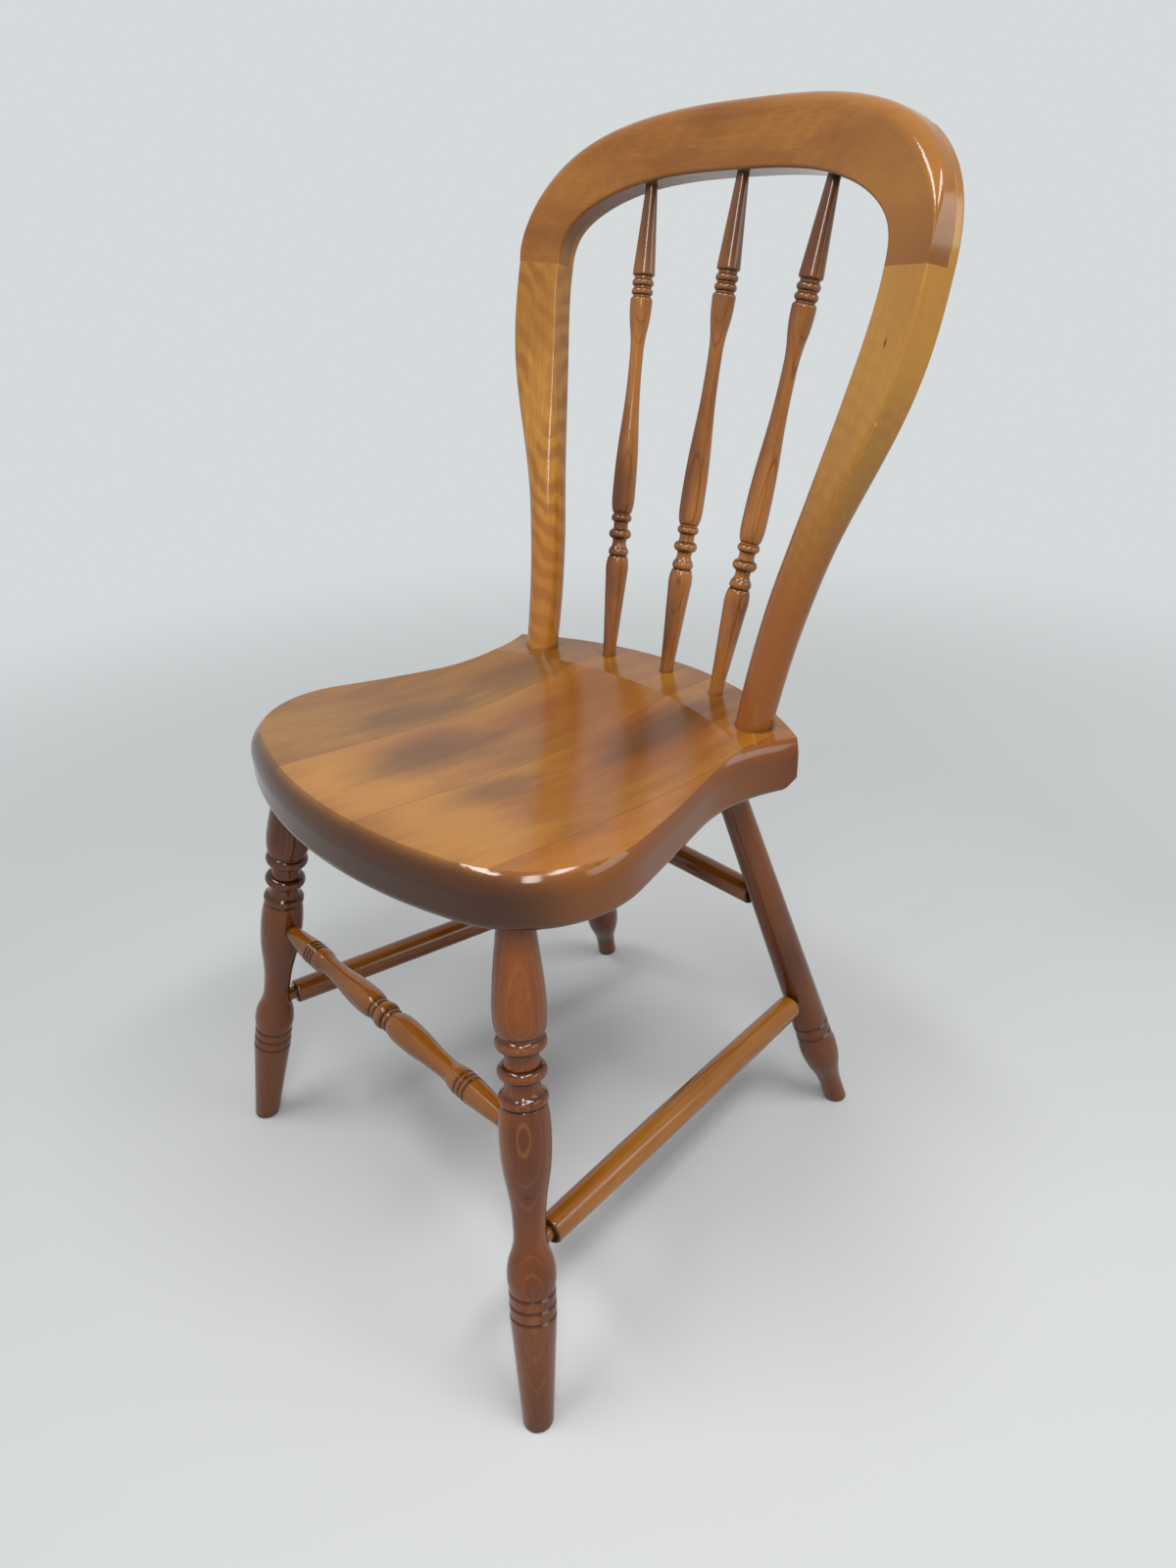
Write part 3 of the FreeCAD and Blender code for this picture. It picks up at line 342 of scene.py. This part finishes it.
# %% Seat
SMOKE = (0.1, 0.036, 0.008)
RED_HEART = (0.2, 0.054, 0.005)
PALE_FRONT = (0.46, 0.2, 0.028)
DENT = (0.1, 0.03, 0.006)
GLUE = (0.06, 0.02, 0.004)
SEAT_TONES = {
    "left": ((0.17, 0.048, 0.005), (0.26, 0.106, 0.01), (0.33, 0.146, 0.019), (0.21, 0.076, 0.008)),
    "centre_left": ((0.18, 0.05, 0.005), (0.30, 0.112, 0.009), (0.38, 0.155, 0.019), (0.24, 0.082, 0.008)),
    "centre_right": ((0.17, 0.045, 0.004), (0.33, 0.126, 0.01), (0.42, 0.176, 0.021), (0.26, 0.088, 0.008)),
    "right": ((0.17, 0.042, 0.003), (0.32, 0.108, 0.009), (0.40, 0.15, 0.017), (0.26, 0.08, 0.008)),
}
SEAT_STAINS = {
    "left": [((-0.1, -0.075, 0.434), (0.034, 0.09, 0.03), SMOKE, 0.62, 0.8),
             ((-0.105, 0.035, 0.434), (0.03, 0.08, 0.03), SMOKE, 0.45, 0.8)],
    "centre_left": [((-0.01, 0.035, 0.434), (0.075, 0.1, 0.04), RED_HEART, 0.7, 0.8),
                    ((0.0, -0.18, 0.44), (0.12, 0.06, 0.03), PALE_FRONT, 0.6, 0.8),
                    ((-0.022, -0.105, 0.434), (0.042, 0.095, 0.03), SMOKE, 0.65, 0.8),
                    ((0.02, -0.045, 0.434), (0.034, 0.08, 0.03), SMOKE, 0.35, 0.8)],
    "centre_right": [((0.085, 0.03, 0.434), (0.085, 0.11, 0.04), RED_HEART, 0.85, 0.8),
                     ((0.08, -0.165, 0.44), (0.12, 0.06, 0.03), PALE_FRONT, 0.6, 0.8),
                     ((0.078, 0.055, 0.434), (0.036, 0.1, 0.03), SMOKE, 0.85, 0.8),
                     ((0.062, -0.105, 0.434), (0.024, 0.07, 0.03), SMOKE, 0.4, 0.8)],
    "right": [((0.1954, -0.1273, 0.4381), (0.002, 0.003, 0.002), DENT, 0.5, 0.0)],
}
GLUE_LINES = {
    "left": [-0.075],
    "centre_left": [-0.075, 0.04],
    "centre_right": [0.04, 0.155],
    "right": [0.155],
}
for board, edges in GLUE_LINES.items():
    SEAT_STAINS[board] += [((edge, 0, 0.43), (0.0008, 4, 4), GLUE, 0.45, 0.0) for edge in edges]
for count, (board, tones) in enumerate(SEAT_TONES.items()):
    name = "seat_board_" + board
    grain = grain_of(name, (0, 0, 1), (0, 1, 0))
    # The seat's top is rubbed pale, and painted shade darkens the faces that do not look up
    material = lacquered_timber(name, grain, tones, gap=0.0045, heart=0.075, aside=0.03 - 0.02 * count,
                                run_out=0.06, lines=0.3, end=0.93, worn_and_shaded=0.75, film=0.17, wear_and_highlight=0.0,
                                seed=3.7 * count, stains=SEAT_STAINS[board])
    dress(name, material)
    print(name, "stains", len(SEAT_STAINS[board]))

# %% [markdown]
# ## Posts and crest
# The bow is sawn from planks: the posts with the grain up their length, the crest with the grain across
# the chair, so that the half laps at the shoulders join long grain to long grain. The posts are golden
# and curly, most of all the left one. The crest came from browner stock, which is why the joint shows as
# a change of colour. The posts redden towards their feet. The right shoulder, at the top of the right post
# and the end of the crest, carries painted light, paler where light from the right falls. A small
# dark tick and a pale ding on the right post are marks of use.

# %% Back
LEAN = math.radians(14)
BACK_REAR = (0, math.cos(LEAN), -math.sin(LEAN))
CREST_TONES = ((0.19, 0.056, 0.005), (0.30, 0.104, 0.010), (0.38, 0.15, 0.017), (0.22, 0.072, 0.007))
POST_TONES = {
    "left": ((0.26, 0.09, 0.009), (0.52, 0.23, 0.026), (0.62, 0.30, 0.045), (0.44, 0.18, 0.02)),
    "right": ((0.24, 0.09, 0.008), (0.37, 0.165, 0.019), (0.46, 0.22, 0.034), (0.31, 0.125, 0.013)),
}
# Strength, pitch in metres and slant of the bands
POST_CURL = {"left": (0.72, 0.022, 1.1), "right": (0.22, 0.013, 0.5)}
# The red foot of each post, then the painted light at the top of the right one, and its tick and ding
POST_MARKS = {
    "left": [((-0.132, 0.0976, 0.438), (0.12, 0.2, 0.24), (0.42, 0.14, 0.009), 0.6, 0.0)],
    "right": [((0.132, 0.0976, 0.438), (0.12, 0.2, 0.26), (0.28, 0.072, 0.005), 0.85, 0.0),
              ((0.2, 0.16, 0.75), (0.1, 0.1, 0.13), (0.53, 0.25, 0.032), 0.45, 0.0),
              ((0.1864, 0.1544, 0.7184), (0.0015, 0.003, 0.005), (0.06, 0.02, 0.004), 0.9, 0.0),
              ((0.1949, 0.1383, 0.6691), (0.0018, 0.0018, 0.0025), (0.6, 0.36, 0.13), 0.6, 0.0)],
}
for count, (hand, tones) in enumerate(POST_TONES.items()):
    name = "back_post_" + hand
    material = lacquered_timber(name, grain_of(name, BACK_REAR), tones, gap=0.007, heart=0.08, lines=0.25,
                                end=0.3, curl=POST_CURL[hand], seed=5.0 + count, stains=POST_MARKS[hand])
    dress(name, material)
    print(name, "curl", POST_CURL[hand])
grain = grain_of("crest_rail", BACK_REAR, (1, 0, 0))
# Painted light: the crest's right shoulder is paler where light from the right falls
lit_shoulder_paint = ((0.17, 0.19, 0.82), (0.09, 0.12, 0.09), (0.4, 0.165, 0.018), 0.45, 0.0)
material = lacquered_timber("crest_rail", grain, CREST_TONES, gap=0.006, heart=0.1, lines=0.3, even=0.4,
                            curl=(0.14, 0.02, 0.8), end=0.12, seed=9.0, stains=[lit_shoulder_paint])
dress("crest_rail", material)
print("crest_rail grain runs along", [round(v, 2) for v in grain[2]])

# %% [markdown]
# ## Spindles, legs and stretchers
# The turnings were cut from straight billets, so their growth lines show best on the swellings. The
# direction in which the layers face differs from billet to billet. Towards a viewer they make drops and
# arrowheads, and edge-on they make long straight bands. The legs carry more toner than the stretchers,
# and the spindles darken towards the crest. The right front leg has one pin knot above its stretcher. The
# left and rear legs and the front, left and rear stretchers take darker copies of the tones, which is
# painted shade.

# %% Turnings
SPINDLE_TONES = ((0.13, 0.034, 0.005), (0.28, 0.088, 0.012), (0.42, 0.16, 0.03), (0.1, 0.027, 0.004))
LEG_TONES = ((0.12, 0.024, 0.001), (0.21, 0.047, 0.002), (0.28, 0.074, 0.005), (0.4, 0.145, 0.02))
# A darker copy of the leg tones for the left and rear legs: painted shade
SHADED_LEG_TONES = ((0.085, 0.017, 0.001), (0.15, 0.033, 0.002), (0.21, 0.053, 0.004), (0.31, 0.105, 0.015))
PALE_RAIL_TONES = ((0.22, 0.065, 0.004), (0.35, 0.12, 0.008), (0.43, 0.165, 0.016), (0.26, 0.08, 0.006))
# A darker copy of the stretcher tones for the front, left and rear stretchers: painted shade
SHADED_RAIL_TONES = ((0.14, 0.037, 0.003), (0.25, 0.076, 0.006), (0.33, 0.11, 0.012), (0.17, 0.046, 0.004))
DARK_TOP = ((0, 0.19, 0.84), (0.4, 0.4, 0.16), (0.11, 0.04, 0.013), 0.6, 0.0)
PIN_KNOT = ((0.1974, -0.2087, 0.2012), (0.0028, 0.0028, 0.0028), (0.03, 0.009, 0.003), 0.95, 0.0)
# Which way the layers face, the tones, the width of a year, and how strong lines, evenness, and grime with
# painted shade are
BILLETS = {
    "spindle_left": ((0.76, -0.65, 0), SPINDLE_TONES, 0.003, 0.6, 0.0, 0.7),
    "spindle_centre": ((0.5, -0.86, 0), SPINDLE_TONES, 0.003, 0.6, 0.0, 0.7),
    "spindle_right": ((0.95, -0.3, 0), SPINDLE_TONES, 0.003, 0.6, 0.0, 0.7),
    "leg_front_left": ((0.13, -0.99, 0), SHADED_LEG_TONES, 0.0032, 0.36, 0.2, 0.35),
    "leg_front_right": ((0.78, -0.63, 0), LEG_TONES, 0.0032, 0.36, 0.2, 0.35),
    "leg_rear_left": ((0.5, 0.86, 0), SHADED_LEG_TONES, 0.0034, 0.35, 0.3, 0.35),
    "leg_rear_right": ((-0.5, -0.86, 0), SHADED_LEG_TONES, 0.0034, 0.35, 0.3, 0.35),
    "stretcher_front": ((0, -0.6, 0.8), SHADED_RAIL_TONES, 0.005, 0.35, 0.3, 0.8),
    "stretcher_left": ((0.9, 0, 0.4), SHADED_RAIL_TONES, 0.005, 0.35, 0.3, 0.8),
    "stretcher_right": ((0.9, 0, 0.4), PALE_RAIL_TONES, 0.005, 0.35, 0.3, 0.8),
    "stretcher_rear": ((0, -0.5, 0.86), SHADED_RAIL_TONES, 0.005, 0.35, 0.3, 0.8),
}
for count, (name, (facing, tones, gap, lines, even, grime_and_shade)) in enumerate(BILLETS.items()):
    marks = [PIN_KNOT] if name == "leg_front_right" else []
    if name.startswith("spindle"):
        marks = [DARK_TOP]
    material = lacquered_timber(name, grain_of(name, facing), tones, gap, heart=0.085, run_out=0.035,
                                lines=lines, even=even, film=0.11, seed=11.0 + 2.3 * count,
                                stains=marks, grime_and_shade=grime_and_shade, wear_and_highlight=0.7)
    dress(name, material)
    print(name, "lines every", gap * 1000, "mm")

# %% [markdown]
# ## Studio
# One sheet of pale paper makes the floor and sweeps up in a cove all round, and a pale sky stands above
# it, so that no horizon shows. The sheet is round, because the chair is looked at from every side: a
# profile of floor and cove is turned about the upright axis.

# %% Floor and cove
def paper_sheet(radius, cove):
    """Floor and cove in one sheet, turned about Z."""
    profile = [(0.0, 0.0), (radius * 0.5, 0.0)]
    steps = 12
    for step in range(steps + 1):
        angle = math.pi / 2 * step / steps
        profile.append((radius - cove + cove * math.sin(angle), cove - cove * math.cos(angle)))
    spokes = 96
    turns = [2 * math.pi * spoke / spokes for spoke in range(spokes)]
    points = [(r * math.cos(turn), r * math.sin(turn), z) for r, z in profile for turn in turns]
    faces = []
    for ring in range(len(profile) - 1):
        for spoke in range(spokes):
            low, following = ring * spokes, (spoke + 1) % spokes
            high = low + spokes
            faces.append((low + spoke, low + following, high + following, high + spoke))
    mesh = bpy.data.meshes.new("paper_sheet")
    mesh.from_pydata(points, [], faces)
    mesh.shade_smooth()
    sheet = bpy.data.objects.new("paper_sheet", mesh)
    bpy.context.scene.collection.objects.link(sheet)
    return sheet


sheet = paper_sheet(2.6, 0.7)
print("paper sheet", len(sheet.data.polygons), "faces")

# %% [markdown]
# ## Paper
# Near the chair the sheet is plain matt paper and takes the shadow. Further out it turns into an even
# pale backdrop for the rays that come from the camera or off the lacquer. Rays that carry light from the
# paper to the chair find a greyer sheet, because a white floor would light the underside as no real room
# does.

# %% Paper
BACKDROP = (0.67, 0.7, 0.71, 1)
PAPER_SEEN = (0.66, 0.67, 0.67)
PAPER_LIT = (0.36, 0.36, 0.36)


def seen_rays(start):
    """1 for rays from the camera, off a gloss or through glass, and 0 for rays that carry light."""
    kinds = ("Is Camera Ray", "Is Glossy Ray", "Is Transmission Ray")
    camera, glossy, through = (start.node("ShaderNodeLightPath", output=kind) for kind in kinds)
    return camera + glossy + through


paper = bpy.data.materials.new("studio_paper")
paper.use_nodes = True
paper.node_tree.nodes.clear()
start = Strand(paper.node_tree)
spread = vector_sum("MULTIPLY", start.node("ShaderNodeTexCoord", output="Object"), (1, 1, 0))
far = ease(vector_sum("LENGTH", spread, (0, 0, 0), "Value"), 0.6, 2.1)
seen = seen_rays(start)
matt = start.node("ShaderNodeBsdfDiffuse", None, {"Color": blend(seen, PAPER_LIT, PAPER_SEEN)})
backdrop = start.node("ShaderNodeEmission", None, {"Color": BACKDROP, "Strength": 1.0})
surface = start.node("ShaderNodeMixShader", None, {0: far * seen, 1: matt, 2: backdrop})
start.node("ShaderNodeOutputMaterial", None, {"Surface": surface})
sheet.data.materials.append(paper)
print("paper nodes", len(paper.node_tree.nodes))

# %% [markdown]
# ## Sky
# The sky gives a weak, even light from all sides, so that the chair reads from behind as well as from the
# front. Rays from the camera or off the lacquer see the same pale backdrop there as on the sheet.

# %% Sky
sky = bpy.data.worlds.new("studio_sky")
sky.use_nodes = True
sky.node_tree.nodes.clear()
start = Strand(sky.node_tree)
lighting = start.node("ShaderNodeBackground", None, {"Color": (0.95, 0.98, 1.0, 1), "Strength": 0.4})
backdrop = start.node("ShaderNodeBackground", None, {"Color": BACKDROP, "Strength": 1.0})
surface = start.node("ShaderNodeMixShader", None, {0: seen_rays(start), 1: lighting, 2: backdrop})
start.node("ShaderNodeOutputWorld", None, {"Surface": surface})
bpy.context.scene.world = sky
print("sky nodes", len(sky.node_tree.nodes))

# %% [markdown]
# ## Lamps
# The lacquer's highlights tell where the brighter lamps are: two ceiling panels, one to the front left
# and one to the right, which leave a pair of long highlights on the rounded front of the seat, a small
# panel above the viewer, which draws thin lines down the edges of the posts, and a window to the right,
# which shows on the shoulder of the crest.

# %% Lamps
def panel(name, place, length, width, watts):
    """A soft rectangular lamp that faces the middle of the chair."""
    lamp = bpy.data.lights.new(name, "AREA")
    lamp.shape = "RECTANGLE"
    lamp.size = length
    lamp.size_y = width
    lamp.energy = watts
    holder = bpy.data.objects.new(name, lamp)
    holder.location = place
    aim = Vector((0, 0, 0.5)) - Vector(place)
    holder.rotation_euler = aim.to_track_quat("-Z", "Y").to_euler()
    holder.visible_camera = False
    bpy.context.scene.collection.objects.link(holder)
    print(name, "at", place, watts, "W")


panel("ceiling_panel_front", (-0.37, -0.9, 2.4), 1.2, 0.3, 19)
panel("ceiling_panel_right", (1.14, 0.18, 2.4), 1.2, 0.3, 19)
panel("viewer_panel", (0.66, -0.54, 1.3), 0.2, 0.5, 4)
panel("window_panel", (1.65, 0.9, 1.35), 1.4, 0.7, 7)

# %% [markdown]
# ## Camera
# The camera stands near the chair, at the right front and a little lower than the crest, and is tipped
# down and slightly round. The three angles turn a set of axes, and their columns are the camera's right,
# up and backward directions.

# %% Camera
AZIMUTH, ELEVATION, ROLL = (math.radians(angle) for angle in (49.475, 28.277, -2.751))
EYE = Vector((0.6332, -0.5073, 0.8084))
backward = Vector((math.sin(AZIMUTH), -math.cos(AZIMUTH), math.tan(ELEVATION))).normalized()
level = Vector((math.cos(AZIMUTH), math.sin(AZIMUTH), 0))
upright = backward.cross(level)
right = level * math.cos(ROLL) + upright * math.sin(ROLL)
up = backward.cross(right)
camera = bpy.data.cameras.new("viewpoint")
camera.lens = 24.711
camera.sensor_width = 36.0
camera.clip_start = 0.01
viewpoint = bpy.data.objects.new("viewpoint", camera)
viewpoint.matrix_world = Matrix.Translation(EYE) @ Matrix((right, up, backward)).transposed().to_4x4()
bpy.context.scene.collection.objects.link(viewpoint)
bpy.context.scene.camera = viewpoint
bpy.context.scene.view_settings.view_transform = "Standard"
print("camera", [round(v, 3) for v in EYE], "lens", camera.lens)

# %% [markdown]
# ## Sizes
# A finish must not change the size of the chair.
